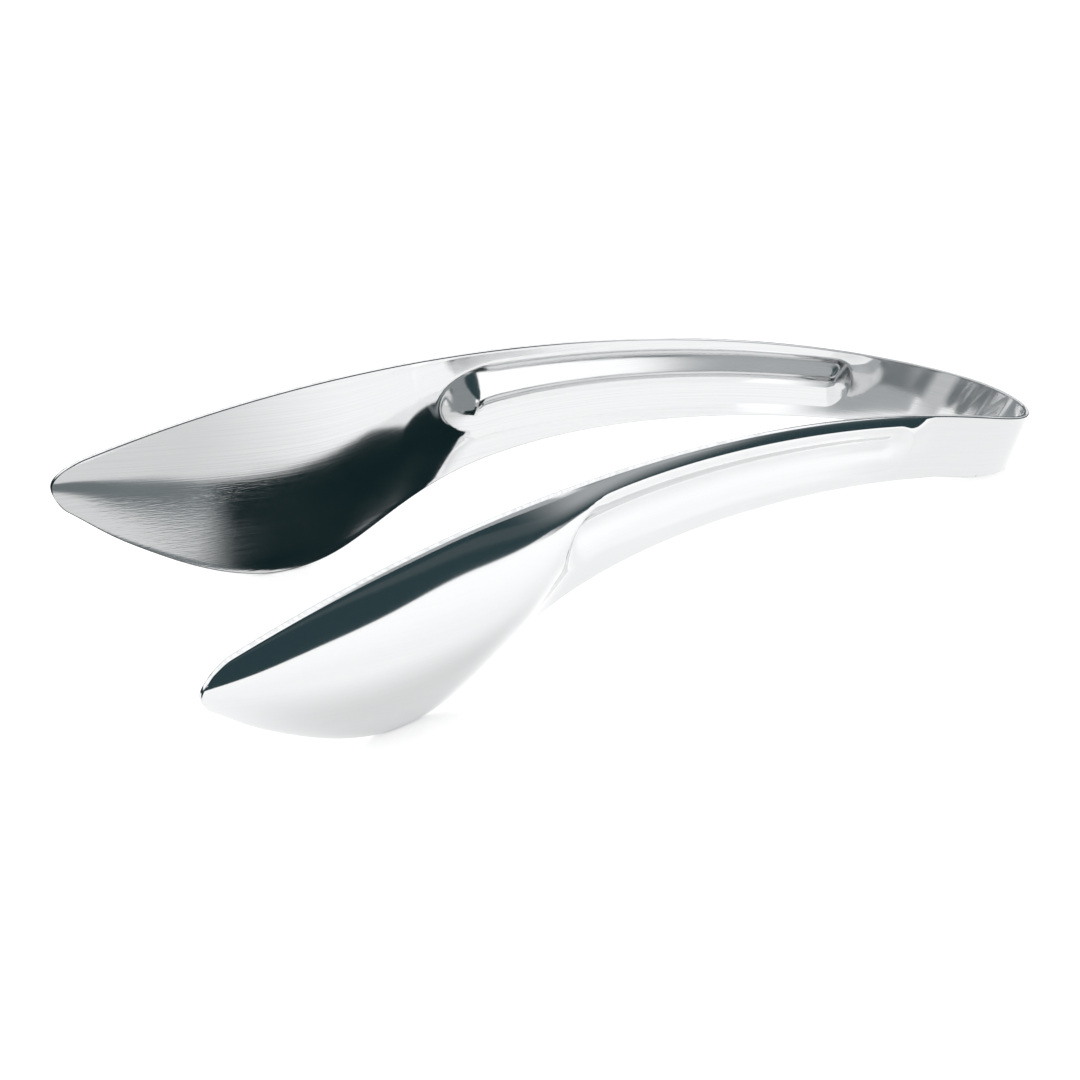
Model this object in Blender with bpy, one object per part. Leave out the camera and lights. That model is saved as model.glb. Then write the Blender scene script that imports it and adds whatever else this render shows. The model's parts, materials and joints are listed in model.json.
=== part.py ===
"""Bread tongs made from one strip of polished stainless steel.

The strip is drawn flat, pressed into its blades and finger recesses, and folded into a
springy bow.  Where it flexes it is parted by a hair's gap, so that the spring bow and the
two arms are separate pieces, and each arm turns on its own hinge axis.  Lengths are metres.
"""

import math

import bmesh
import bpy
import numpy as np

# The strip and its outline when flat.  Its upper edge is one arc, highest at the crest.
SHEET_THICKNESS = 0.0012
ARM_LENGTH = 0.253
UPPER_EDGE_RADIUS = 0.331
CREST_REACH = 0.070
NECK_WIDTH = 0.0182
BLADE_WIDTH = 0.0578
TIP_WIDTH = 0.0095
TIP_ROUNDING = 0.0060
FOLD_WIDTH = 0.0158
FOLD_TAPER = 0.0240
FOLD_SOFTNESS = 0.0060

# The fold: how fast the strip turns from square to the mid plane into the arm's own line
ARM_ANGLE = math.radians(7.8)
BOW_REACH = 0.0060
BOW_POWER = 1.0

# The pressed crown.  Along the neck it stands on the upper side of the recess alone.
CROWN_START = 0.0400
CROWN_RUN = 0.0120
FULL_CROWN_START = 0.1470
FULL_CROWN_RUN = 0.0170

# The finger recess: a round-ended trough, with its rim and its deepest line.  Its line and
# width, as shares of the strip's half width, settle to those of its round end at the blade.
RECESS_FROM = 0.0560
RECESS_TO = 0.1475
RECESS_ASIDE_SHARE = 0.05
RECESS_RIM_SHARE = 0.71
END_ASIDE_SHARE = 0.12
END_RIM_SHARE = 0.64
END_SETTLING = 0.0250
RECESS_DEPTH_SHARE = 0.205
HEART_FROM = 0.0575
HEART_TO = 0.1490
HEART_ASIDE_SHARE = 0.08
HEART_WIDTH_SHARE = 0.02
RIM_CREASE_SHARE = 0.08
HEART_CREASE_SHARE = 0.33

# The places where the strip flexes
FLEX_REACH = 0.0200
FLEX_GAP = 0.0003

# How far along the arm, and how far the strip has widened from the neck's to the blade's width
BELLY_SHARES = (
    (0.14, 0.0), (0.26, 0.06), (0.37, 0.125), (0.47, 0.21), (0.55, 0.33), (0.60, 0.47),
    (0.64, 0.67), (0.68, 0.905), (0.73, 1.0), (0.78, 0.945), (0.83, 0.82), (0.88, 0.645),
    (0.93, 0.42), (0.97, 0.185), (1.0, 0.0),
)
WIDEST_SHARE = 0.73
# How far along the arm, and how high the crown is as a share of the strip's half width
CROWN_SHARES = (
    (0.20, 0.200), (0.32, 0.198), (0.44, 0.198), (0.52, 0.210), (0.58, 0.232), (0.633, 0.255),
    (0.68, 0.240), (0.73, 0.222), (0.80, 0.218), (0.88, 0.210), (1.0, 0.210),
)
# The grid's rows across the strip, from its lower edge at -1 to its upper edge at 1
ARM_ROW_SHARES = (
    -1.0, -0.83, -0.66, -0.57, -0.38, -0.18, -0.05, 0.08, 0.18, 0.32, 0.50, 0.70, 0.76, 0.88, 1.0,
)
BOW_ROW_SHARES = (-1.0, -0.5, 0.0, 0.5, 1.0)

# How many strips of the grid each stretch of the arm has
NECK_STEPS = 7
RECESS_BOW_STEPS = 9
RECESS_MIDDLE_STEPS = 13
RECESS_BLADE_STEPS = 12
BLADE_STEPS = 17
NOSE_STEPS = 6
BOW_HALF_STEPS = 12
BOW_STEP_POWER = 1.5

CURVE_STEPS = 4000
BISECTION_STEPS = 40
STEEPEST_LEAN = math.radians(45.0)
STEEL_COLOUR = (0.72, 0.73, 0.74, 1.0)
STEEL_ROUGHNESS = 0.12
SMOOTH_ANGLE = math.radians(40.0)


def clear_scene():
    """Remove what the scene holds already."""
    for item in list(bpy.data.objects):
        bpy.data.objects.remove(item, do_unlink=True)


def smoothstep(value):
    """Ease from 0 to 1 with level ends."""
    value = min(max(value, 0.0), 1.0)
    return value * value * (3 - 2 * value)


def smooth_curve(shares):
    """The bends of the smoothest curve through a table of shares, one for each row."""
    places = np.array([row[0] for row in shares])
    values = np.array([row[1] for row in shares])
    steps = np.diff(places)
    slopes = np.diff(values) / steps
    count = len(places)
    matrix = np.identity(count)
    pulls = np.zeros(count)
    for row in range(1, count - 1):
        matrix[row, row - 1:row + 2] = (steps[row - 1], 2 * (steps[row - 1] + steps[row]), steps[row])
        pulls[row] = 6 * (slopes[row] - slopes[row - 1])
    return places, values, np.linalg.solve(matrix, pulls)


def follow(curve, place):
    """Read a smooth curve at a place, level before its first row and after its last."""
    places, values, bends = curve
    place = min(max(place, places[0]), places[-1])
    left = min(int(np.searchsorted(places, place, side="right")) - 1, len(places) - 2)
    step = places[left + 1] - places[left]
    after = (place - places[left]) / step
    before = 1 - after
    return (before * values[left] + after * values[left + 1]
            + ((before ** 3 - before) * bends[left] + (after ** 3 - after) * bends[left + 1])
            * step * step / 6)


BELLY = smooth_curve(BELLY_SHARES)
CROWN = smooth_curve(CROWN_SHARES)


def upper_edge(reach):
    """Height of the flat strip's upper edge, at a reach along the strip from the fold."""
    from_crest = math.hypot(reach, FOLD_SOFTNESS) - CREST_REACH
    return NECK_WIDTH / 2 - UPPER_EDGE_RADIUS + math.sqrt(UPPER_EDGE_RADIUS ** 2 - from_crest ** 2)


def body_width(reach):
    """The strip's width, before the tip is rounded."""
    share = reach / ARM_LENGTH
    fold = (FOLD_WIDTH - NECK_WIDTH) * (1 - smoothstep(reach / FOLD_TAPER))
    belly = (BLADE_WIDTH - NECK_WIDTH) * follow(BELLY, share)
    tip = (TIP_WIDTH - NECK_WIDTH) * smoothstep((share - WIDEST_SHARE) / (1 - WIDEST_SHARE))
    return NECK_WIDTH + fold + belly + tip


def middle_line(reach):
    """Height of the middle between the strip's edges."""
    return upper_edge(reach) - body_width(reach) / 2


def half_width(reach):
    """Half the strip's width, with the round nose at the tip."""
    left = min((ARM_LENGTH - reach) / TIP_ROUNDING, 1.0)
    return body_width(reach) / 2 * math.sqrt(left * (2 - left))


def rise(reach):
    """Height of the crown on the middle line."""
    ramp = smoothstep((reach - CROWN_START) / CROWN_RUN)
    return ramp * follow(CROWN, reach / ARM_LENGTH) * body_width(reach) / 2


def crown(reach, aside):
    """How far the sheet stands out from the line between its edges before the recess is pressed."""
    full = smoothstep((reach - FULL_CROWN_START) / FULL_CROWN_RUN)
    upper = smoothstep(((aside - RECESS_ASIDE_SHARE) / RECESS_RIM_SHARE + 1) / 2)
    return rise(reach) * (1 - aside * aside) * (full + (1 - full) * upper)


def outside_of_slot(reach, aside, nearest, line, share):
    """Distance outside a round-ended slot, from the reach that is nearest on its own line."""
    held = body_width(nearest) / 2
    above = held * (1 - line) - (1 - aside) * body_width(reach) / 2
    return math.hypot(reach - nearest, above) - share * held


def slope(share):
    """Straight way from the recess's rim at 0 to its deepest line at 1, with a crease at each end."""
    rim, heart = RIM_CREASE_SHARE, HEART_CREASE_SHARE
    if share < rim:
        depth = share * share / (2 * rim)
    elif share > 1 - heart:
        depth = 1 - (rim + heart) / 2 - (1 - share) ** 2 / (2 * heart)
    else:
        depth = share - rim / 2
    return depth / (1 - (rim + heart) / 2)


def recess_share(reach, aside):
    """How much of the recess's depth is reached: 0 outside its rim, 1 on its deepest line."""
    nearest = min(max(reach, RECESS_FROM), RECESS_TO)
    settled = smoothstep((nearest - RECESS_TO) / END_SETTLING + 1)
    line = RECESS_ASIDE_SHARE + (END_ASIDE_SHARE - RECESS_ASIDE_SHARE) * settled
    share = RECESS_RIM_SHARE + (END_RIM_SHARE - RECESS_RIM_SHARE) * settled
    inwards = -outside_of_slot(reach, aside, nearest, line, share)
    nearest = min(max(reach, HEART_FROM), HEART_TO)
    away = outside_of_slot(reach, aside, nearest, HEART_ASIDE_SHARE, HEART_WIDTH_SHARE)
    if inwards <= 0:
        return 0.0
    return slope(inwards / (inwards + max(away, 0.0)))


def press(reach, across):
    """How far pressing moves the sheet outwards from the line between its edges."""
    aside = across * half_width(reach) / (body_width(reach) / 2)
    pressed = recess_share(reach, aside)
    rim_height = rise(reach) * (1 - (RECESS_ASIDE_SHARE + RECESS_RIM_SHARE) ** 2)
    sunk = rim_height - RECESS_DEPTH_SHARE * body_width(reach) / 2
    return (1 - pressed) * crown(reach, aside) + pressed * sunk


def turn_at(reach):
    """The strip's direction, as an angle from the mid plane."""
    return ARM_ANGLE + (math.pi / 2 - ARM_ANGLE) * np.exp(-(reach / BOW_REACH) ** BOW_POWER)


def fold_curve():
    """The folded strip seen along the fold: reach, distance towards the tips, distance aside."""
    reach = np.linspace(0.0, ARM_LENGTH, CURVE_STEPS + 1)
    turn = turn_at((reach[1:] + reach[:-1]) / 2)
    step = ARM_LENGTH / CURVE_STEPS
    along = np.concatenate(([0.0], np.cumsum(np.cos(turn)) * step))
    aside = np.concatenate(([0.0], np.cumsum(np.sin(turn)) * step))
    return reach, along, aside


CURVE = fold_curve()


def on_fold_curve(reach, outwards, side):
    """A point of the folded strip in plan, moved outwards from it, on one side of the mid plane."""
    turn = turn_at(reach)
    along = np.interp(reach, CURVE[0], CURVE[1]) - outwards * math.sin(turn)
    aside = np.interp(reach, CURVE[0], CURVE[2]) + outwards * math.cos(turn)
    return -along, side * aside


def stations(start, end, steps):
    """Even steps from start, included, to end, left out."""
    return [start + (end - start) * step / steps for step in range(steps)]


def arm_stations():
    """The grid's places along an arm, closest at the ends of the recess and at the nose."""
    bow_radius = RECESS_RIM_SHARE * body_width(RECESS_FROM) / 2
    blade_radius = END_RIM_SHARE * body_width(RECESS_TO) / 2
    start, start_round = RECESS_FROM - bow_radius, RECESS_FROM + bow_radius
    end_round, end = RECESS_TO - blade_radius / 2, RECESS_TO + blade_radius
    nose = ARM_LENGTH - TIP_ROUNDING
    places = stations(FLEX_REACH + FLEX_GAP / 2, start, NECK_STEPS)
    places += stations(start, start_round, RECESS_BOW_STEPS)
    places += stations(start_round, end_round, RECESS_MIDDLE_STEPS)
    places += stations(end_round, end, RECESS_BLADE_STEPS)
    places += stations(end, nose, BLADE_STEPS)
    for step in range(NOSE_STEPS):
        places.append(nose + TIP_ROUNDING * math.sin(math.pi / 2 * step / NOSE_STEPS))
    return places


def bow_stations():
    """The grid's places along the bow, from one arm to the other, closest at the fold."""
    end = FLEX_REACH - FLEX_GAP / 2
    half = [end * (step / BOW_HALF_STEPS) ** BOW_STEP_POWER for step in range(BOW_HALF_STEPS + 1)]
    return [-place for place in reversed(half[1:])] + half


def strip_mesh(name, places, rows, side, origin):
    """Make a stretch of the strip as a flat slab, then press it and fold it."""
    sheet = bmesh.new()
    bmesh.ops.create_grid(sheet, x_segments=len(places) - 1, y_segments=len(rows) - 1, size=1)
    skin = bmesh.ops.extrude_face_region(sheet, geom=sheet.faces[:])
    for part in skin["geom"]:
        if isinstance(part, bmesh.types.BMVert):
            part.co.z = 1
    for vertex in sheet.verts:
        place = places[round((vertex.co.x + 1) / 2 * (len(places) - 1))]
        across = rows[round((vertex.co.y + 1) / 2 * (len(rows) - 1))]
        reach = abs(place)
        outwards = press(reach, across) + SHEET_THICKNESS * (vertex.co.z - 0.5)
        x, y = on_fold_curve(reach, outwards, side if place >= 0 else -side)
        z = middle_line(reach) + across * half_width(reach)
        vertex.co = (x - origin[0], y - origin[1], z)
    bmesh.ops.recalc_face_normals(sheet, faces=sheet.faces[:])
    mesh = bpy.data.meshes.new(name)
    sheet.to_mesh(mesh)
    sheet.free()
    return mesh


def steel(name):
    """Polished stainless steel."""
    material = bpy.data.materials.new(name)
    material.use_nodes = True
    shader = material.node_tree.nodes["Principled BSDF"]
    shader.inputs["Base Color"].default_value = STEEL_COLOUR
    shader.inputs["Metallic"].default_value = 1.0
    shader.inputs["Roughness"].default_value = STEEL_ROUGHNESS
    return material


def add_piece(name, places, rows, side, origin, frame):
    """Add one piece of the strip, with its origin where it turns."""
    mesh = strip_mesh(name, places, rows, side, origin)
    mesh.materials.append(steel(name + "_steel"))
    mesh.shade_smooth()
    mesh.set_sharp_from_angle(angle=SMOOTH_ANGLE)
    piece = bpy.data.objects.new(name, mesh)
    piece.location = (origin[0], origin[1], 0.0)
    piece.parent = frame
    bpy.context.scene.collection.objects.link(piece)
    return piece


def fold_points(pieces):
    """Every vertex of the pieces, in the frame of the fold."""
    points = []
    for piece in pieces:
        points += [vertex.co + piece.location for vertex in piece.data.vertices]
    return np.array(points)


def lay_down(frame, pieces):
    """Lean the fold until the bow and both blades touch the table, and centre the part there."""
    points = fold_points(pieces)
    tipwards = points[:, 0] < points[:, 0].min() / 2

    def heights(lean):
        return points[:, 2] * math.cos(lean) - points[:, 0] * math.sin(lean)

    low, high = 0.0, STEEPEST_LEAN
    for _ in range(BISECTION_STEPS):
        lean = (low + high) / 2
        height = heights(lean)
        if height[tipwards].min() < height[~tipwards].min():
            low = lean
        else:
            high = lean
    places = points[:, 0] * math.cos(lean) + points[:, 2] * math.sin(lean)
    frame.rotation_euler = (0.0, lean, 0.0)
    frame.location = (-(places.min() + places.max()) / 2, 0.0, -heights(lean).min())


def build():
    """Build the tongs at rest on a table."""
    clear_scene()
    frame = bpy.data.objects.new("fold_frame", None)
    bpy.context.scene.collection.objects.link(frame)
    near_hinge = on_fold_curve(FLEX_REACH, 0.0, -1)
    far_hinge = on_fold_curve(FLEX_REACH, 0.0, 1)
    pieces = [
        add_piece("spring_bow", bow_stations(), BOW_ROW_SHARES, 1, (0.0, 0.0), frame),
        add_piece("near_arm", arm_stations(), ARM_ROW_SHARES, -1, near_hinge, frame),
        add_piece("far_arm", arm_stations(), ARM_ROW_SHARES, 1, far_hinge, frame),
    ]
    lay_down(frame, pieces)


build()
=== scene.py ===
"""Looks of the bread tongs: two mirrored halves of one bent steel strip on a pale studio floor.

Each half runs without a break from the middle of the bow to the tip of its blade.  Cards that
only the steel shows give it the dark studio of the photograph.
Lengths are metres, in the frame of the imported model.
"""

import json
import logging
import math
from dataclasses import dataclass, field
from enum import Enum
from typing import Optional, Union

import bmesh
import bpy
import numpy as np
from mathutils import Matrix, Quaternion, Vector


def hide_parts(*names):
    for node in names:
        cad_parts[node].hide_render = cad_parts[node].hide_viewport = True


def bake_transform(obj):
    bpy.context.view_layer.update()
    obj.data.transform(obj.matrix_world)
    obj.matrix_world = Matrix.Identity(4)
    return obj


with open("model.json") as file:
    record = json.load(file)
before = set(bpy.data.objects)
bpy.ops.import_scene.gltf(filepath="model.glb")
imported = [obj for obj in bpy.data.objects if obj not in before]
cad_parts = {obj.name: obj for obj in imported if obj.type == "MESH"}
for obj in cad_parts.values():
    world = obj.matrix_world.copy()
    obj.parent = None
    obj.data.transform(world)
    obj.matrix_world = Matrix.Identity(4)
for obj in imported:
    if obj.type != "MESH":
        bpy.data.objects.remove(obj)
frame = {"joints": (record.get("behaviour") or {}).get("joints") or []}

LOG = logging.getLogger("bread_tongs")
SENSOR_WIDTH = 36.0
MILLIMETRES = 1000.0
TINY = 1e-9


class Arm(Enum):
    """One of the two arms, with its side of the mid plane."""

    NEAR = -1
    FAR = 1


class Skin(Enum):
    """A surface of the strip, with its material's place on the mesh."""

    INSIDE = 0
    OUTSIDE = 1
    RIM = 2
    CORNER = 3


class Axis(Enum):
    """One coordinate of a point."""

    X = "X"
    Y = "Y"
    Z = "Z"


class SmoothCurve:
    """The smoothest curve through a table of places and values."""

    def __init__(self, table: tuple[tuple[float, float], ...]) -> None:
        """Work out how the curve bends at each row.

        Args:
            table: Rows of a place and the value there.
        """
        self.places = np.array([row[0] for row in table])
        self.values = np.array([row[1] for row in table])
        steps = np.diff(self.places)
        slopes = np.diff(self.values) / steps
        matrix = np.identity(len(table))
        pulls = np.zeros(len(table))
        for row in range(1, len(table) - 1):
            matrix[row, row - 1:row + 2] = (
                steps[row - 1], 2 * (steps[row - 1] + steps[row]), steps[row])
            pulls[row] = 6 * (slopes[row] - slopes[row - 1])
        self.bends = np.linalg.solve(matrix, pulls)

    def at(self, place: np.ndarray) -> np.ndarray:
        """Read the curve, level before its first row and after its last.

        Args:
            place: Where to read it.

        Returns:
            The values there.
        """
        place = np.clip(place, self.places[0], self.places[-1])
        last = len(self.places) - 2
        left = np.clip(np.searchsorted(self.places, place, side="right") - 1, 0, last)
        step = self.places[left + 1] - self.places[left]
        after = (place - self.places[left]) / step
        before = 1 - after
        straight = before * self.values[left] + after * self.values[left + 1]
        bent_before = (before ** 3 - before) * self.bends[left]
        bent_after = (after ** 3 - after) * self.bends[left + 1]
        return straight + (bent_before + bent_after) * step * step / 6


def smoothstep(value: np.ndarray) -> np.ndarray:
    """Ease from 0 to 1 with level ends."""
    value = np.clip(value, 0.0, 1.0)
    return value * value * (3 - 2 * value)


@dataclass(frozen=True)
class Outline:
    """The strip when flat: its upper edge is one arc, its width swells into the blade.

    A reach runs along the strip from the fold.  The belly's rows are shares of the length, with
    the share of the blade's extra width that is there.
    """

    length: float = 0.25294
    edge_radius: float = 0.331
    crest_reach: float = 0.070
    neck_width: float = 0.01815
    blade_width: float = 0.05772
    tip_width: float = 0.0095
    nose: float = 0.0060
    fold_width: float = 0.0158
    fold_taper: float = 0.0240
    fold_softness: float = 0.0060
    widest_share: float = 0.73
    belly: SmoothCurve = SmoothCurve((
        (0.14, 0.0), (0.26, 0.06), (0.37, 0.125), (0.47, 0.21), (0.55, 0.33), (0.60, 0.47),
        (0.64, 0.67), (0.68, 0.905), (0.73, 1.0), (0.78, 0.945), (0.83, 0.82), (0.88, 0.645),
        (0.93, 0.42), (0.97, 0.185), (1.0, 0.0),
    ))

    def upper_edge(self, reach: np.ndarray) -> np.ndarray:
        """Height of the upper edge, at a reach along the strip from the fold."""
        from_crest = np.hypot(reach, self.fold_softness) - self.crest_reach
        drop = self.edge_radius - np.sqrt(self.edge_radius ** 2 - from_crest ** 2)
        return self.neck_width / 2 - drop

    def width(self, reach: np.ndarray) -> np.ndarray:
        """The strip's width, before its tip is rounded.

        Args:
            reach: Distance along the strip from the fold.

        Returns:
            The widths there.
        """
        share = reach / self.length
        fold = (self.fold_width - self.neck_width) * (1 - smoothstep(reach / self.fold_taper))
        belly = (self.blade_width - self.neck_width) * self.belly.at(share)
        past = (share - self.widest_share) / (1 - self.widest_share)
        tip = (self.tip_width - self.neck_width) * smoothstep(past)
        return self.neck_width + fold + belly + tip

    def height(self, reach: np.ndarray, aside: np.ndarray) -> np.ndarray:
        """Height of a point, aside being -1 on the lower edge's line and 1 on the upper's."""
        return self.upper_edge(reach) + (aside - 1) * self.width(reach) / 2


@dataclass(frozen=True)
class Pressing:
    """What the press gives the strip: a crown, and the long recess for the fingers.

    The recess slopes down from its rim, a round-ended slot, to a narrow slot in its heart.  The
    rim settles into its end's values towards the blade.  Starts, runs, from and to are along the
    strip; aside is where a slot's line lies, as a share of the half width, and the other shares
    are of the half width too.
    """

    outline: Outline = Outline()
    crown_start: float = 0.0400
    crown_run: float = 0.0120
    full_crown_start: float = 0.1470
    full_crown_run: float = 0.0170
    recess_from: float = 0.0560
    recess_to: float = 0.1475
    rim_aside: float = 0.05
    rim_share: float = 0.71
    end_aside: float = 0.12
    end_share: float = 0.64
    end_settling: float = 0.0250
    depth_share: float = 0.205
    heart_from: float = 0.0575
    heart_to: float = 0.1490
    heart_aside: float = 0.08
    heart_share: float = 0.02
    rim_crease: float = 0.08
    heart_crease: float = 0.33
    crown_rise: SmoothCurve = SmoothCurve((
        (0.20, 0.200), (0.32, 0.198), (0.44, 0.198), (0.52, 0.210), (0.58, 0.232), (0.633, 0.255),
        (0.68, 0.240), (0.73, 0.222), (0.80, 0.218), (0.88, 0.210), (1.0, 0.210),
    ))

    def rise(self, reach: np.ndarray) -> np.ndarray:
        """Height of the crown on the middle line.

        Args:
            reach: Distance along the strip from the fold.

        Returns:
            How far it stands out from the line between the strip's edges.
        """
        outline = self.outline
        ramp = smoothstep((reach - self.crown_start) / self.crown_run)
        share = self.crown_rise.at(reach / outline.length)
        return ramp * share * outline.width(reach) / 2

    def outside_of_slot(self, reach: np.ndarray, aside: np.ndarray, nearest: np.ndarray,
                        line: np.ndarray, share: np.ndarray) -> np.ndarray:
        """Measure how far points are outside a round-ended slot.

        Args:
            reach: Distance along the strip from the fold.
            aside: Share of the half width, from the middle line.
            nearest: The nearest reach on the slot's own line.
            line: Where that line is, as a share of the half width.
            share: The slot's half width, as a share of the strip's.

        Returns:
            The distance outside the slot's edge, below 0 inside it.
        """
        held = self.outline.width(nearest) / 2
        above = held * (1 - line) - (1 - aside) * self.outline.width(reach) / 2
        return np.hypot(reach - nearest, above) - share * held

    def recess_share(self, reach: np.ndarray, aside: np.ndarray) -> np.ndarray:
        """How much of the recess's depth is reached.

        Args:
            reach: Distance along the strip from the fold.
            aside: Share of the half width, from the middle line.

        Returns:
            0 outside the recess's rim, 1 on its deepest line.
        """
        nearest = np.clip(reach, self.recess_from, self.recess_to)
        settled = smoothstep((nearest - self.recess_to) / self.end_settling + 1)
        line = self.rim_aside + (self.end_aside - self.rim_aside) * settled
        share = self.rim_share + (self.end_share - self.rim_share) * settled
        rim = self.outside_of_slot(reach, aside, nearest, line, share)
        nearest = np.clip(reach, self.heart_from, self.heart_to)
        heart = self.outside_of_slot(reach, aside, nearest, self.heart_aside, self.heart_share)
        inwards = np.maximum(-rim, 0.0)
        away = np.maximum(heart, 0.0)
        return self.slope(inwards / np.maximum(inwards + away, TINY))

    def slope(self, share: np.ndarray) -> np.ndarray:
        """Go from 0 to 1 straight, with a rounded crease at each end.

        Args:
            share: How far the slope is followed, from the recess's rim to its heart.

        Returns:
            The share of the depth that is reached.
        """
        rim, heart = self.rim_crease, self.heart_crease
        early = share * share / (2 * rim)
        late = 1 - (rim + heart) / 2 - (1 - share) ** 2 / (2 * heart)
        depth = np.where(share < rim, early, np.where(share > 1 - heart, late, share - rim / 2))
        return depth / (1 - (rim + heart) / 2)

    def crown(self, reach: np.ndarray, aside: np.ndarray) -> np.ndarray:
        """How far the sheet stands out before the recess is pressed in.

        Args:
            reach: Distance along the strip from the fold.
            aside: Share of the half width, from the middle line.

        Returns:
            The distance outwards.
        """
        full = smoothstep((reach - self.full_crown_start) / self.full_crown_run)
        upper = smoothstep(((aside - self.rim_aside) / self.rim_share + 1) / 2)
        return self.rise(reach) * (1 - aside * aside) * (full + (1 - full) * upper)

    def outwards(self, reach: np.ndarray, aside: np.ndarray) -> np.ndarray:
        """How far pressing moves the sheet outwards.

        Args:
            reach: Distance along the strip from the fold.
            aside: Share of the half width, from the middle line.

        Returns:
            The distance outwards.
        """
        pressed = self.recess_share(reach, aside)
        rim_height = self.rise(reach) * (1 - (self.rim_aside + self.rim_share) ** 2)
        sunk = rim_height - self.depth_share * self.outline.width(reach) / 2
        return (1 - pressed) * self.crown(reach, aside) + pressed * sunk


@dataclass
class Fold:
    """How the strip is bent in plan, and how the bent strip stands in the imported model.

    The strip crosses the mid plane squarely, and within a few times the bow's reach it turns to
    the arm's angle, in degrees.  The flex's reach is where the joint is.
    """

    length: float
    arm_angle: float = 7.8
    bow_reach: float = 0.0060
    flex_reach: float = 0.0200
    steps: int = 8000

    def __post_init__(self) -> None:
        """Follow the bend along the strip, then read how the model stands from its joints."""
        self.reach = np.linspace(0.0, self.length, self.steps + 1)
        turn = self.turn((self.reach[1:] + self.reach[:-1]) / 2)
        step = self.length / self.steps
        self.along = np.concatenate(([0.0], np.cumsum(np.cos(turn)) * step))
        self.aside = np.concatenate(([0.0], np.cumsum(np.sin(turn)) * step))
        joint = next(row for row in frame["joints"] if row["name"] == "far_arm_flex")
        axis = Vector(joint["axis"])
        self.lean = math.atan2(axis.x, axis.z)
        self.apex = Vector((0.0, 0.0, 0.0))
        hinge = np.array([self.flex_reach])
        place = self.place(hinge, np.zeros(1), np.zeros(1), Arm.FAR)[0]
        self.apex = Vector(joint["pos_m"]) - Vector(place)

    def turn(self, reach: np.ndarray) -> np.ndarray:
        """The strip's direction, as an angle from the mid plane in radians.

        Args:
            reach: Distance along the strip from the fold.

        Returns:
            The angles there.
        """
        arm_turn = math.radians(self.arm_angle)
        return arm_turn + (math.pi / 2 - arm_turn) * np.exp(-(reach / self.bow_reach))

    def place(self, reach: np.ndarray, outwards: np.ndarray, height: np.ndarray,
              arm: Arm) -> np.ndarray:
        """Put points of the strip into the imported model's frame.

        Args:
            reach: Distance along the strip from the fold.
            outwards: Distance outwards from the strip's line in plan.
            height: Height in the flat strip.
            arm: The arm that the points are on.

        Returns:
            One row of three coordinates for each point.
        """
        turn = self.turn(reach)
        along = np.interp(reach, self.reach, self.along) - outwards * np.sin(turn)
        aside = np.interp(reach, self.reach, self.aside) + outwards * np.cos(turn)
        forwards = -along * math.cos(self.lean) + height * math.sin(self.lean)
        upwards = along * math.sin(self.lean) + height * math.cos(self.lean)
        points = np.stack([forwards, arm.value * aside, upwards], axis=1)
        return points + np.array(self.apex)


Number = Union[float, "Value"]
Colour = Union[tuple[float, float, float, float], "Value"]


class Value:
    """A number that varies over a surface, for use in Python expressions."""

    def __init__(self, graph: "Graph", socket: bpy.types.NodeSocket) -> None:
        """Hold a node's output socket."""
        self.graph = graph
        self.socket = socket

    def math(self, operation: str, other: Number) -> "Value":
        """Add a Math node on this value.

        Args:
            operation: The node's operation.
            other: Its second input.

        Returns:
            The node's result.
        """
        return self.graph.value("ShaderNodeMath", {"operation": operation}, {0: self, 1: other})

    def __add__(self, other: Number) -> "Value":
        """Add."""
        return self.math("ADD", other)

    def __radd__(self, other: Number) -> "Value":
        """Add, with the number first."""
        return self.math("ADD", other)

    def __sub__(self, other: Number) -> "Value":
        """Take away."""
        return self.math("SUBTRACT", other)

    def __rsub__(self, other: Number) -> "Value":
        """Take this value away from a number."""
        return self.graph.value("ShaderNodeMath", {"operation": "SUBTRACT"}, {0: other, 1: self})

    def __mul__(self, other: Number) -> "Value":
        """Multiply."""
        return self.math("MULTIPLY", other)

    def __rmul__(self, other: Number) -> "Value":
        """Multiply, with the number first."""
        return self.math("MULTIPLY", other)

    def ramp(self, start: float, end: float, low: float = 0.0, high: float = 1.0) -> "Value":
        """Ease from one value to another as this value goes from start to end.

        Args:
            start: Where the change begins.
            end: Where it ends.
            low: The result before it.
            high: The result after it.

        Returns:
            The eased value.
        """
        settings = {"interpolation_type": "SMOOTHSTEP"}
        inputs = {"Value": self, "From Min": start, "From Max": end, "To Min": low, "To Max": high}
        return self.graph.value("ShaderNodeMapRange", settings, inputs, "Result")


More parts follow.
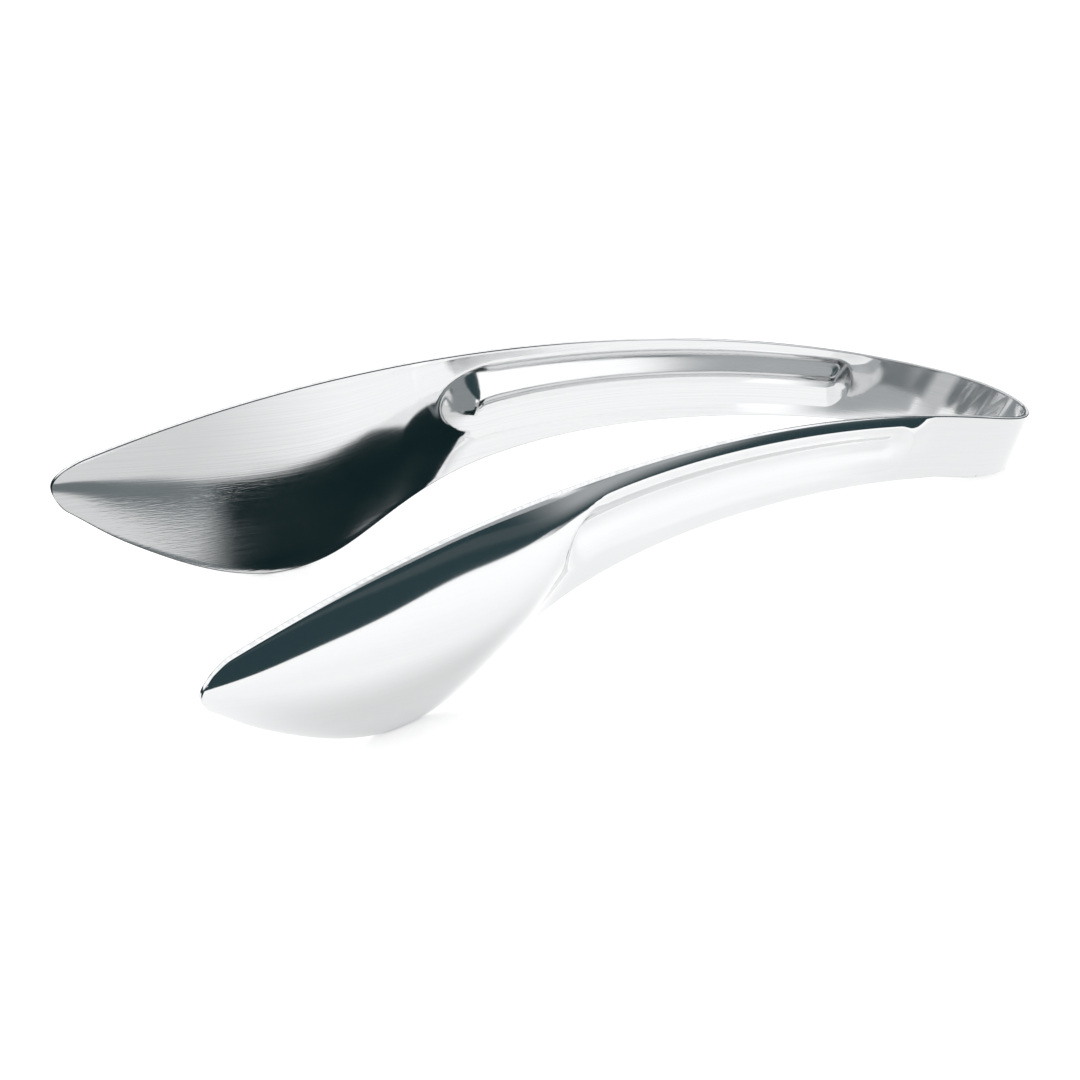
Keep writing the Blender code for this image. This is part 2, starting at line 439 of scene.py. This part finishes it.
class Graph:
    """Adds nodes to one material."""

    def __init__(self, name: str) -> None:
        """Start a material with only a Principled shader and its output.

        Args:
            name: The material's name.
        """
        self.material = bpy.data.materials.new(name)
        self.material.use_nodes = True
        self.tree = self.material.node_tree
        self.shader = self.tree.nodes["Principled BSDF"]

    def node(self, kind: str, settings: dict, inputs: dict) -> bpy.types.Node:
        """Add one node.

        Args:
            kind: The node's type.
            settings: Its properties, set first.
            inputs: Values or links of its sockets, by name or number.

        Returns:
            The node.
        """
        made = self.tree.nodes.new(kind)
        for name, setting in settings.items():
            setattr(made, name, setting)
        for name, given in inputs.items():
            self.feed(made.inputs[name], given)
        return made

    def feed(self, socket: bpy.types.NodeSocket, given: object) -> None:
        """Link or set a socket.

        Args:
            socket: The input to feed.
            given: A value to link to it, or what to set it to.
        """
        if isinstance(given, Value):
            self.tree.links.new(given.socket, socket)
        else:
            socket.default_value = given

    def value(self, kind: str, settings: dict, inputs: dict, output: Union[int, str] = 0) -> Value:
        """Add one node and take one of its outputs.

        Args:
            kind: The node's type.
            settings: Its properties, set first.
            inputs: Values or links of its sockets, by name or number.
            output: Which output to take.

        Returns:
            The output.
        """
        return Value(self, self.node(kind, settings, inputs).outputs[output])

    def part(self, point: Value, axis: Axis) -> Value:
        """Take one coordinate of a point."""
        return self.value("ShaderNodeSeparateXYZ", {}, {"Vector": point}, axis.value)

    def place(self, axis: Axis) -> Value:
        """Read one coordinate of the place on the object, in metres."""
        return self.part(self.value("ShaderNodeTexCoord", {}, {}, "Object"), axis)

    def map_point(self, name: str) -> Value:
        """Read a map of the mesh."""
        return self.value("ShaderNodeUVMap", {"uv_map": name}, {})

    def blend(self, factor: Value, first: Colour, second: Colour) -> Value:
        """Mix two colours.

        Args:
            factor: How much of the second there is.
            first: The first colour.
            second: The second colour.

        Returns:
            The mixed colour.
        """
        mixed = self.node("ShaderNodeMix", {"data_type": "RGBA"}, {"Factor": factor})
        colours = [place for place in mixed.inputs if place.type == "RGBA"]
        self.feed(colours[0], first)
        self.feed(colours[1], second)
        return Value(self, next(place for place in mixed.outputs if place.type == "RGBA"))

    def strip_point(self, along: float, across: float, lift: float = 0.0) -> Value:
        """Read the strip's own map, in metres, stretched along and across the strip.

        Args:
            along: How many pattern units there are in a metre along the strip.
            across: How many there are in a metre across it.
            lift: Moves the pattern, so that two patterns differ.

        Returns:
            The point to read a texture at.
        """
        inputs = {"Vector": self.map_point(StripHalf.MAP), "Location": (lift, lift, 0.0),
                  "Scale": (along, across, 1.0)}
        return self.value("ShaderNodeMapping", {}, inputs)

    def strip_place(self, axis: Axis) -> Value:
        """Read the distance along the strip from the fold (X), or across from its middle (Y)."""
        return self.part(self.map_point(StripHalf.MAP), axis)

    def noise(self, point: Value, detail: float) -> Value:
        """Add a noise texture.

        Args:
            point: Where to read it.
            detail: How many finer layers it has.

        Returns:
            The noise, about 0.5.
        """
        inputs = {"Vector": point, "Scale": 1.0, "Detail": detail}
        return self.value("ShaderNodeTexNoise", {"noise_dimensions": "3D"}, inputs)


@dataclass(frozen=True)
class SteelFinishAndPaintedShade:
    """How one surface of the strip is polished; the dark colours of the inner corners are painted
    shade.

    A pattern is given by its units in a metre along and across the strip, and at times by a
    number that sets it apart from the others.  A fade is given by where it begins and ends.
    """

    name: str
    colour: tuple[float, float, float, float] = (0.665, 0.67, 0.675, 1.0)
    streak_colour: tuple[float, float, float, float] = (0.60, 0.61, 0.62, 1.0)
    streak_fade: tuple[float, float] = (0.42, 0.66)
    bow_painted_shade: Optional[tuple[float, float, float, float]] = None
    bow_painted_shade_fade: tuple[float, float] = (0.110, 0.150)
    grain: tuple[float, float] = (18.0, 2600.0)
    patches: tuple[float, float, float] = (45.0, 70.0, 3.0)
    waves: tuple[float, float, float] = (18.0, 40.0, 7.0)
    scratches: tuple[float, float, float] = (230.0, 2900.0, 5.0)
    scratch_fade_along: tuple[float, float] = (0.180, 0.212)
    scratch_fade_across: tuple[float, float] = (-0.0070, -0.0015)
    ripples: tuple[float, float] = (1.0, 0.35)
    ripple_scale: float = 110.0
    ripple_fade: tuple[float, float] = (0.010, 0.024)
    roughness: float = 0.06
    grain_roughness: float = 0.02
    grain_depth: float = 0.0
    wave_depth: float = 0.0
    ripple_depth: float = 0.0
    scratch_depth: float = 0.0

    def bend_ripples(self, graph: Graph) -> Value:
        """Add the ripples that bending leaves inside the bow.

        Args:
            graph: The material's nodes.

        Returns:
            Their height, 0 outside the bow.
        """
        settings = {"wave_type": "BANDS", "bands_direction": "DIAGONAL", "wave_profile": "SIN"}
        inputs = {"Vector": graph.strip_point(*self.ripples), "Scale": self.ripple_scale,
                  "Distortion": 0.0}
        bands = graph.value("ShaderNodeTexWave", settings, inputs, "Fac")
        return bands * graph.strip_place(Axis.X).ramp(*self.ripple_fade, 1.0, 0.0)

    def blade_scratches(self, graph: Graph) -> Value:
        """Add the short scratches that brushing leaves in the lower half of the blade.

        Args:
            graph: The material's nodes.

        Returns:
            Their height, 0 outside that half.
        """
        scratches = graph.noise(graph.strip_point(*self.scratches), detail=2.0)
        lower = graph.strip_place(Axis.Y).ramp(*self.scratch_fade_across, 1.0, 0.0)
        return scratches * graph.strip_place(Axis.X).ramp(*self.scratch_fade_along) * lower

    def material(self) -> bpy.types.Material:
        """Make the finish's material: a fine grain that runs along the strip, and faint waves.

        Returns:
            The material.
        """
        graph = Graph(self.name)
        grain = graph.noise(graph.strip_point(*self.grain), detail=3.0)
        patch = graph.noise(graph.strip_point(*self.patches), detail=3.0)
        wave = graph.noise(graph.strip_point(*self.waves), detail=1.0)
        shader = graph.shader
        colour = graph.blend(grain.ramp(*self.streak_fade), self.colour, self.streak_colour)
        # Painted shade: the corner's dark line is mid grey in the bow and goes over into its
        # darker colour past it.
        if self.bow_painted_shade is not None:
            past_bow = graph.strip_place(Axis.X).ramp(*self.bow_painted_shade_fade)
            colour = graph.blend(past_bow, self.bow_painted_shade, colour)
        graph.feed(shader.inputs["Base Color"], colour)
        shader.inputs["Metallic"].default_value = 1.0
        rough = self.roughness + self.grain_roughness * (grain + patch - 1.0)
        graph.feed(shader.inputs["Roughness"], rough)
        height = self.grain_depth * grain + self.wave_depth * wave
        if self.ripple_depth > 0:
            height = height + self.ripple_depth * self.bend_ripples(graph)
        if self.scratch_depth > 0:
            height = height + self.scratch_depth * self.blade_scratches(graph)
        inputs = {"Height": height, "Distance": 1.0, "Strength": 1.0}
        graph.feed(shader.inputs["Normal"], graph.value("ShaderNodeBump", {}, inputs))
        return graph.material


POLISHED = SteelFinishAndPaintedShade("polished_steel", streak_colour=(0.655, 0.66, 0.665, 1.0),
                       grain_depth=0.0000001, wave_depth=0.000004)
BRUSHED = SteelFinishAndPaintedShade("brushed_steel", streak_colour=(0.635, 0.645, 0.65, 1.0),
                      roughness=0.11, grain_roughness=0.16, grain_depth=0.0000050,
                      wave_depth=0.000003, ripple_depth=0.00020, scratch_depth=0.000022)
GROUND = SteelFinishAndPaintedShade("ground_steel", colour=(0.60, 0.61, 0.62, 1.0),
                     streak_colour=(0.52, 0.53, 0.54, 1.0),
                     roughness=0.12, grain_roughness=0.04, grain_depth=0.0000005)
# Painted shade: the far arm's inner corner rounding is coloured near black past the bow and mid
# grey in it, standing in for the dark reflected line along its rim.
FAR_CORNER_PAINTED_SHADE = SteelFinishAndPaintedShade("far_corner_steel", colour=(0.050, 0.054, 0.058, 1.0),
                         streak_colour=(0.040, 0.044, 0.048, 1.0),
                         bow_painted_shade=(0.42, 0.43, 0.44, 1.0),
                         roughness=0.22, grain_roughness=0.04, grain_depth=0.0000005)
# Painted shade: the near arm's inner corner rounding is coloured dark grey, standing in for the
# dark reflected line along its rim.
NEAR_CORNER_PAINTED_SHADE = SteelFinishAndPaintedShade("near_corner_steel", colour=(0.17, 0.173, 0.178, 1.0),
                          streak_colour=(0.14, 0.143, 0.148, 1.0),
                          roughness=0.22, grain_roughness=0.04, grain_depth=0.0000005)


@dataclass
class StripHalf:
    """Half of the tongs: the strip from the middle of the bow to the tip of one blade.

    Its grid has rows at shares of the half width, on both sides of the middle line, and columns
    in stretches that are given by where they end and by their number of steps.
    """

    arm: Arm
    fold: Fold
    pressing: Pressing = Pressing()
    thickness: float = 0.0011
    rim_rounding: float = 0.00026
    rim_segments: int = 3
    seam_step: float = 0.00005
    seam_width: float = 0.000005
    sharp_angle: float = 50.0
    blend_start: float = 0.004
    blend_end: float = 0.040
    half_rows: tuple[float, ...] = (
        0.0, 0.07, 0.14, 0.21, 0.28, 0.34, 0.385, 0.42, 0.45, 0.48, 0.51, 0.54, 0.57, 0.60, 0.63,
        0.66, 0.69, 0.72, 0.75, 0.79, 0.83, 0.88, 0.93, 1.0,
    )
    stretches: tuple[tuple[float, int], ...] = (
        (0.012, 40), (0.044, 44), (0.070, 56), (0.138, 96), (0.166, 60), (0.247, 110),
    )
    nose_steps: int = 14
    skins: dict[Skin, bpy.types.Material] = field(default_factory=dict)

    MAP = "strip"

    def name(self) -> str:
        """The piece's name."""
        return self.arm.name.lower() + "_half"

    def columns(self) -> np.ndarray:
        """The grid's places along the strip, past its end where they are in the nose.

        Returns:
            Reaches, then the nose's start plus shares of the nose.
        """
        places = [0.0]
        start = self.seam_step
        for end, steps in self.stretches:
            places += [start + (end - start) * step / steps for step in range(steps)]
            start = end
        nose = self.pressing.outline.nose
        places += [start + nose * step / self.nose_steps for step in range(self.nose_steps + 1)]
        return np.array(places)

    def flat_points(self, column: np.ndarray, row: np.ndarray) -> tuple[np.ndarray, np.ndarray]:
        """Round the grid's far end into the nose.

        Args:
            column: The grid's places along the strip.
            row: The grid's shares across it.

        Returns:
            The reach, and the share of the half width, of each point.
        """
        outline = self.pressing.outline
        start = outline.length - outline.nose
        share = np.clip((column - start) / outline.nose, 0.0, 1.0)
        rounded = start + outline.nose * share * np.sqrt(1 - row * row / 2)
        reach = np.where(share > 0, rounded, column)
        return reach, row * np.sqrt(1 - share * share / 2)

    def shape(self, sheet: bmesh.types.BMesh) -> None:
        """Press and fold the flat slab, and map it.

        Args:
            sheet: The slab, a grid from -1 to 1 with its skins at heights 0 and 1.
        """
        columns = self.columns()
        rows = np.array([-share for share in self.half_rows[:0:-1]] + list(self.half_rows))
        unit = np.array([vertex.co for vertex in sheet.verts])
        column = columns[np.rint((unit[:, 0] + 1) / 2 * (len(columns) - 1)).astype(int)]
        row = rows[np.rint((unit[:, 1] + 1) / 2 * (len(rows) - 1)).astype(int)]
        reach, aside = self.flat_points(column, row)
        outwards = self.pressing.outwards(reach, aside) + self.thickness * (unit[:, 2] - 0.5)
        outline = self.pressing.outline
        points = self.fold.place(reach, outwards, outline.height(reach, aside), self.arm)
        across = aside * outline.width(reach) / 2
        strip_map = sheet.loops.layers.uv.new(self.MAP)
        for face in sheet.faces:
            for loop in face.loops:
                index = loop.vert.index
                loop[strip_map].uv = (reach[index], across[index])
        for vertex, point in zip(sheet.verts, points):
            vertex.co = point

    def slab(self) -> bmesh.types.BMesh:
        """Make the flat slab, with a material for each of its surfaces.

        Returns:
            A closed grid from -1 to 1, its skins at heights 0 and 1.
        """
        sheet = bmesh.new()
        columns = len(self.columns()) - 1
        rows = 2 * len(self.half_rows) - 2
        bmesh.ops.create_grid(sheet, x_segments=columns, y_segments=rows, size=1)
        inside = set(sheet.faces)
        skin = bmesh.ops.extrude_face_region(sheet, geom=sheet.faces[:])
        raised = [part for part in skin["geom"] if isinstance(part, bmesh.types.BMVert)]
        bmesh.ops.translate(sheet, verts=raised, vec=(0.0, 0.0, 1.0))
        outside = {part for part in skin["geom"] if isinstance(part, bmesh.types.BMFace)}
        for face in sheet.faces:
            if face in outside:
                face.material_index = Skin.OUTSIDE.value
            elif face in inside:
                face.material_index = Skin.INSIDE.value
            else:
                face.material_index = Skin.RIM.value
        sheet.verts.index_update()
        return sheet

    def round_rim(self, sheet: bmesh.types.BMesh) -> None:
        """Round both corners of the rim, all the way round the blade.

        The bevel works in millimetres here, because in metres it takes points 0.1 mm apart as one.

        Args:
            sheet: The shaped strip.
        """
        for skin, finish in ((Skin.INSIDE, Skin.CORNER), (Skin.OUTSIDE, Skin.RIM)):
            bmesh.ops.scale(sheet, verts=sheet.verts[:], vec=(MILLIMETRES,) * 3)
            self.round_corner(sheet, skin, finish)
            bmesh.ops.scale(sheet, verts=sheet.verts[:], vec=(1 / MILLIMETRES,) * 3)

    def round_corner(self, sheet: bmesh.types.BMesh, skin: Skin, finish: Skin) -> None:
        """Round the corner where the rim meets one skin.

        Args:
            sheet: The shaped strip, in millimetres.
            skin: The skin on the corner's other side.
            finish: The surface that the rounding is part of.
        """
        mid_plane = self.seam_width * MILLIMETRES
        corner = []
        for edge in sheet.edges:
            sides = {face.material_index for face in edge.link_faces}
            at_seam = all(abs(vertex.co.y) < mid_plane for vertex in edge.verts)
            if sides == {skin.value, Skin.RIM.value} and not at_seam:
                corner.append(edge)
        made = bmesh.ops.bevel(
            sheet, geom=corner, offset=self.rim_rounding * MILLIMETRES, offset_type="OFFSET",
            segments=self.rim_segments, profile=0.5, affect="EDGES", material=-1,
            clamp_overlap=False)
        for face in made["faces"]:
            face.material_index = finish.value

    def build(self) -> bpy.types.Object:
        """Make the half in place of the solids of the bow and its arm, and dress it.

        Returns:
            The finished piece.
        """
        sheet = self.slab()
        self.shape(sheet)
        self.round_rim(sheet)
        bmesh.ops.recalc_face_normals(sheet, faces=sheet.faces[:])
        mesh = bpy.data.meshes.new(self.name())
        sheet.to_mesh(mesh)
        sheet.free()
        mesh.shade_smooth()
        mesh.set_sharp_from_angle(angle=math.radians(self.sharp_angle))
        for skin in Skin:
            mesh.materials.append(self.skins[skin])
        piece = bpy.data.objects.new(self.name(), mesh)
        bpy.context.scene.collection.objects.link(piece)
        self.attach(piece)
        LOG.info("%s: %d faces", piece.name, len(mesh.polygons))
        return piece

    def attach(self, piece: bpy.types.Object) -> None:
        """Put the piece in place of the solids of the bow and its arm, and hide those solids.

        Args:
            piece: The half's object.
        """
        ends = np.array([self.blend_start, self.blend_end])
        start, end = self.fold.place(ends, np.zeros(2), np.zeros(2), self.arm)
        start[1] = end[1]
        arm = self.arm.name.lower() + "_arm"
        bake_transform(piece)
        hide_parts(arm, "spring_bow")


class Shade(Enum):
    """How dark a card looks, as its light."""

    DEEP = (0.007, 0.021, 0.024, 1.0)
    DARK = (0.034, 0.066, 0.076, 1.0)
    SLATE = (0.075, 0.105, 0.115, 1.0)
    DUSK = (0.20, 0.23, 0.24, 1.0)
    GREY = (0.34, 0.37, 0.38, 1.0)
    MIST = (0.52, 0.54, 0.55, 1.0)
    PALE = (0.72, 0.73, 0.74, 1.0)
    SOFT = (0.95, 0.95, 0.95, 1.0)
    BRIGHT = (1.24, 1.24, 1.24, 1.0)
    LIGHT = (1.36, 1.36, 1.36, 1.0)
    WHITE = (1.55, 1.55, 1.55, 1.0)


@dataclass(frozen=True)
class Card:
    """A card that only polished steel shows: a flat sheet, lying or standing.

    It is turned in degrees about X (tilt), then Y (lean), then Z (turn).  Its shade changes into
    the other shade between two places along an axis.  That other shade rises out of the low shade
    between two heights, which are measured aslant by a share of X.  The back may have a shade of
    its own, and the border may be soft over a share of the card's size.
    """

    name: str
    size: tuple[float, float]
    centre: tuple[float, float, float]
    tilt: float = 0.0
    lean: float = 0.0
    turn: float = 0.0
    shade: Shade = Shade.DARK
    other_shade: Shade = Shade.DARK
    change_along: Axis = Axis.X
    change_from: float = 0.0
    change_to: float = 0.0
    low_shade: Shade = Shade.DARK
    rise_from: float = 0.0
    rise_to: float = 0.0
    slant: float = 0.0
    back_shade: Optional[Shade] = None
    soft_edge: float = 0.0

    MAP = "card"

    def sheet(self) -> bmesh.types.BMesh:
        """Make the card's mesh.

        Returns:
            One flat face in the card's place.
        """
        sheet = bmesh.new()
        sheet.loops.layers.uv.new(self.MAP)
        bmesh.ops.create_grid(sheet, x_segments=1, y_segments=1, size=0.5, calc_uvs=True)
        bmesh.ops.scale(sheet, verts=sheet.verts[:], vec=(self.size[0], self.size[1], 1.0))
        for axis, angle in (("X", self.tilt), ("Y", self.lean), ("Z", self.turn)):
            turning = Matrix.Rotation(math.radians(angle), 3, axis)
            bmesh.ops.rotate(sheet, verts=sheet.verts[:], cent=(0.0, 0.0, 0.0), matrix=turning)
        bmesh.ops.translate(sheet, verts=sheet.verts[:], vec=self.centre)
        return sheet

    def border_cover(self, graph: Graph) -> Value:
        """Let the card's border fade away.

        Args:
            graph: The material's nodes.

        Returns:
            How solid the card is, 0 at its edges.
        """
        point = graph.map_point(self.MAP)
        cover = 1.0
        for axis in (Axis.X, Axis.Y):
            along = graph.part(point, axis)
            near_side = along.ramp(0.0, self.soft_edge)
            cover = cover * near_side * along.ramp(1.0, 1.0 - self.soft_edge)
        return cover

    def material(self) -> bpy.types.Material:
        """Make the card's material, with its shades and its border.

        Returns:
            A surface that only gives light.
        """
        graph = Graph(self.name)
        graph.shader.inputs["Base Color"].default_value = (0.0, 0.0, 0.0, 1.0)
        graph.shader.inputs["Specular IOR Level"].default_value = 0.0
        graph.shader.inputs["Emission Strength"].default_value = 1.0
        colour = self.shade.value
        other = self.other_shade.value
        if self.rise_from != self.rise_to:
            height = graph.place(Axis.Z) + self.slant * graph.place(Axis.X)
            risen = height.ramp(self.rise_from, self.rise_to)
            other = graph.blend(risen, self.low_shade.value, other)
        if self.change_from != self.change_to:
            changed = graph.place(self.change_along).ramp(self.change_from, self.change_to)
            colour = graph.blend(changed, colour, other)
        if self.back_shade is not None:
            behind = graph.value("ShaderNodeNewGeometry", {}, {}, "Backfacing")
            colour = graph.blend(behind, colour, self.back_shade.value)
        graph.feed(graph.shader.inputs["Emission Color"], colour)
        if self.soft_edge > 0:
            graph.feed(graph.shader.inputs["Alpha"], self.border_cover(graph))
        return graph.material


@dataclass
class Studio:
    """A pale floor and soft light, with cards round the tongs that only polished steel shows.
    Those close by, on the floor and between the arms, paint shade and light into the steel's
    reflections.
    """

    round_segments: int = 96
    floor_radius: float = 6.0
    floor_colour: tuple[float, float, float, float] = (0.93, 0.93, 0.93, 1.0)
    sky: float = 1.62
    horizon_radius: float = 3.0
    horizon_height: float = 0.42
    azimuth: float = -30.23
    elevation: float = 38.13
    roll: float = 4.02
    distance: float = 1.390
    view_depth: float = 24.0
    lens: float = 181.4
    aim: tuple[float, float, float] = (0.00838, 0.03883, -0.01937)
    cards: tuple[Card, ...] = (
        # The dark studio all round.
        Card("front_card", (8.0, 2.8), (-0.9186, -1.2248, 0.0004), turn=-36.9),
        Card("back_card", (8.0, 2.8), (-0.9186, 1.2248, 0.0005), turn=36.9),
        Card("right_card", (2.8, 4.0), (1.552, 0.0, 0.0006), other_shade=Shade.SLATE,
             change_from=0.17, change_to=0.32),
        Card("right_wall", (4.0, 0.75), (1.6, 0.0, 0.375), tilt=90.0, turn=90.0, shade=Shade.DUSK),
        # What the inside of the far arm shows: the blade, the pad and the ring at its end.
        # Painted shade: a dark sheet standing between the blades, lighter towards the tip and
        # upwards, which the far blade's lower half shows as its dark.
        Card("blade_card", (0.096, 0.038), (-0.082, -0.002, 0.0185), tilt=90.0, shade=Shade.DEEP,
             other_shade=Shade.SOFT, change_from=-0.0655, change_to=-0.073,
             low_shade=Shade.DUSK, rise_from=-0.0170, rise_to=-0.0105, slant=0.30),
        # Painted shade: a stand-in for the floor between the blades, darker towards the tip, which
        # the far blade shows.
        Card("tip_floor_card", (0.105, 0.0335), (-0.0775, 0.0155, 0.0004), shade=Shade.LIGHT,
             other_shade=Shade.SOFT, change_from=-0.035, change_to=-0.080),
        # Painted light: a stand-in for the floor under the far arm, lit brighter than the floor in
        # the arm's own shadow, which the far arm shows.
        Card("pad_floor_card", (0.108, 0.044), (0.029, 0.002, 0.0004), shade=Shade.LIGHT),
        # Painted reflection: sheets at the end of the pad, grey and dark on their side towards the
        # bow and white on the other, which the pad's ring shows as its grey crescent and dark arc.
        Card("ring_card", (0.017, 0.0155), (-0.030, 0.0205, 0.0415), tilt=90.0, turn=90.0,
             shade=Shade.GREY, back_shade=Shade.WHITE, soft_edge=0.10),
        Card("arc_card", (0.030, 0.0180), (-0.030, 0.0125, 0.0565), tilt=90.0, turn=90.0,
             back_shade=Shade.WHITE, soft_edge=0.08),
        # What the far arm shows towards the bow: the neck, and the end of the pad.
        # Painted shade: a sheet standing by the near arm's neck, white going over into grey
        # towards the bow, which the far arm's neck shows.
        Card("neck_card", (0.043, 0.020), (0.0831, -0.0133, 0.0045), tilt=90.0, lean=20.6,
             turn=7.8, shade=Shade.WHITE, other_shade=Shade.MIST,
             change_from=0.070, change_to=0.088),
        # Painted shade: a stand-in for the floor under the far arm by the bow, white going over
        # into grey towards the bow.
        Card("neck_floor_card", (0.040, 0.026), (0.101, 0.0135, 0.0004), shade=Shade.WHITE,
             other_shade=Shade.GREY, change_from=0.083, change_to=0.092, soft_edge=0.15),
        Card("pad_card", (0.95, 0.72), (1.408, -2.649, 0.79), tilt=90.0, turn=28.0,
             shade=Shade.WHITE, other_shade=Shade.MIST, change_from=1.05, change_to=1.30),
        # What the outside of the near arm shows: the blade, and the band along the neck.
        # Painted shadow: a stand-in for the floor in front of the near blade, darker next to the
        # blade, which its outside shows.
        Card("blade_front_card", (0.120, 0.060), (-0.060, -0.055, 0.0004), shade=Shade.LIGHT,
             other_shade=Shade.SOFT, change_along=Axis.Y, change_from=-0.068, change_to=-0.040,
             soft_edge=0.4),
        Card("band_card", (0.1367, 0.190), (0.154, -0.207, 0.045), tilt=90.0, turn=24.8,
             other_shade=Shade.MIST, change_from=0.060, change_to=0.090,
             rise_from=0.049, rise_to=0.092, slant=0.30, soft_edge=0.35),
        # What the rims and the bow show.
        Card("rim_card", (0.160, 0.100), (0.366, 0.238, 0.050), tilt=90.0, turn=-47.0,
             shade=Shade.BRIGHT),
        Card("line_card", (0.300, 0.120), (0.255, 0.330, 0.060), tilt=90.0, turn=-28.0,
             shade=Shade.BRIGHT),
        # Painted shade and light: a sheet across the slot inside the bow, grey on one side and
        # pale on the other, which the bow's inside shows as grey with a light streak.
        Card("bow_slot_card", (0.0150, 0.040), (0.1102, 0.0010, 0.018), tilt=116.0, turn=90.0,
             shade=Shade.GREY, back_shade=Shade.PALE, soft_edge=0.30),
        # Painted shade: a stand-in for the floor round the bow, dimmer than the lit floor, which
        # the bow's outside shows as light grey.
        Card("bow_floor_card", (0.067, 0.100), (0.1185, -0.012, 0.0003), shade=Shade.BRIGHT,
             soft_edge=0.25),
    )

    def stage_piece(self, name: str, sheet: bmesh.types.BMesh,
                    material: bpy.types.Material) -> bpy.types.Object:
        """Put a mesh on the stage.

        Args:
            name: The piece's name.
            sheet: Its mesh.
            material: Its material.

        Returns:
            The stage's piece.
        """
        mesh = bpy.data.meshes.new(name)
        sheet.to_mesh(mesh)
        sheet.free()
        mesh.materials.append(material)
        piece = bpy.data.objects.new(name, mesh)
        bpy.context.scene.collection.objects.link(piece)
        return piece

    def floor(self) -> None:
        """Lay the floor, a wide round sheet."""
        sheet = bmesh.new()
        bmesh.ops.create_circle(
            sheet, cap_ends=True, segments=self.round_segments, radius=self.floor_radius)
        graph = Graph("studio_floor")
        graph.shader.inputs["Base Color"].default_value = self.floor_colour
        graph.shader.inputs["Roughness"].default_value = 1.0
        graph.shader.inputs["Specular IOR Level"].default_value = 0.0
        self.stage_piece("studio_floor", sheet, graph.material)

    def horizon(self) -> bmesh.types.BMesh:
        """Make a low wall all round, far away.

        Returns:
            The wall's mesh.
        """
        sheet = bmesh.new()
        bmesh.ops.create_circle(
            sheet, segments=self.round_segments, radius=self.horizon_radius)
        wall = bmesh.ops.extrude_edge_only(sheet, edges=sheet.edges[:])
        raised = [part for part in wall["geom"] if isinstance(part, bmesh.types.BMVert)]
        bmesh.ops.translate(sheet, verts=raised, vec=(0.0, 0.0, self.horizon_height))
        return sheet

    def surroundings(self) -> None:
        """Set the cards and the horizon, seen in the steel alone."""
        pieces = [
            self.stage_piece(card.name, card.sheet(), card.material()) for card in self.cards]
        wall = Card("horizon", (0.0, 0.0), (0.0, 0.0, 0.0), shade=Shade.DARK)
        pieces.append(self.stage_piece(wall.name, self.horizon(), wall.material()))
        for piece in pieces:
            piece.visible_camera = False
            piece.visible_diffuse = False
            piece.visible_shadow = False

    def light(self) -> None:
        """Light the stage evenly from all round."""
        world = bpy.data.worlds.new("studio")
        world.use_nodes = True
        background = world.node_tree.nodes["Background"]
        background.inputs["Color"].default_value = (1.0, 1.0, 1.0, 1.0)
        background.inputs["Strength"].default_value = self.sky
        bpy.context.scene.world = world
        bpy.context.scene.view_settings.view_transform = "Standard"

    def camera(self) -> None:
        """Put the camera at the photograph's viewing angle."""
        turn = math.radians(self.azimuth)
        rise = math.radians(self.elevation)
        level = math.cos(rise)
        back = Vector((math.sin(turn) * level, -math.cos(turn) * level, math.sin(rise)))
        data = bpy.data.cameras.new("camera")
        data.lens = self.lens
        data.sensor_width = SENSOR_WIDTH
        data.clip_end = self.view_depth
        camera = bpy.data.objects.new("camera", data)
        bpy.context.scene.collection.objects.link(camera)
        camera.rotation_mode = "QUATERNION"
        camera.rotation_quaternion = (-back).to_track_quat("-Z", "Y")
        camera.rotation_quaternion.rotate(Quaternion(back, math.radians(self.roll)))
        camera.location = Vector(self.aim) + back * self.distance
        bpy.context.scene.camera = camera

    def build(self) -> None:
        """Set the whole stage."""
        self.floor()
        self.surroundings()
        self.light()
        self.camera()
        LOG.info("studio: floor, %d cards, horizon, light and camera", len(self.cards))


def main() -> None:
    """Build the tongs and the stage."""
    logging.basicConfig(level=logging.INFO, format="%(name)s: %(message)s")
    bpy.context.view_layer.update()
    skins = {
        Skin.INSIDE: BRUSHED.material(),
        Skin.OUTSIDE: POLISHED.material(),
        Skin.RIM: GROUND.material(),
    }
    # The inner corners' dark colours are painted shade, standing in for the dark reflected line
    # along the rim.
    corners = {Arm.NEAR: NEAR_CORNER_PAINTED_SHADE.material(), Arm.FAR: FAR_CORNER_PAINTED_SHADE.material()}
    fold = Fold(Outline().length)
    for arm in Arm:
        StripHalf(arm, fold, skins={**skins, Skin.CORNER: corners[arm]}).build()
    Studio().build()


if __name__ == "__main__":
    main()
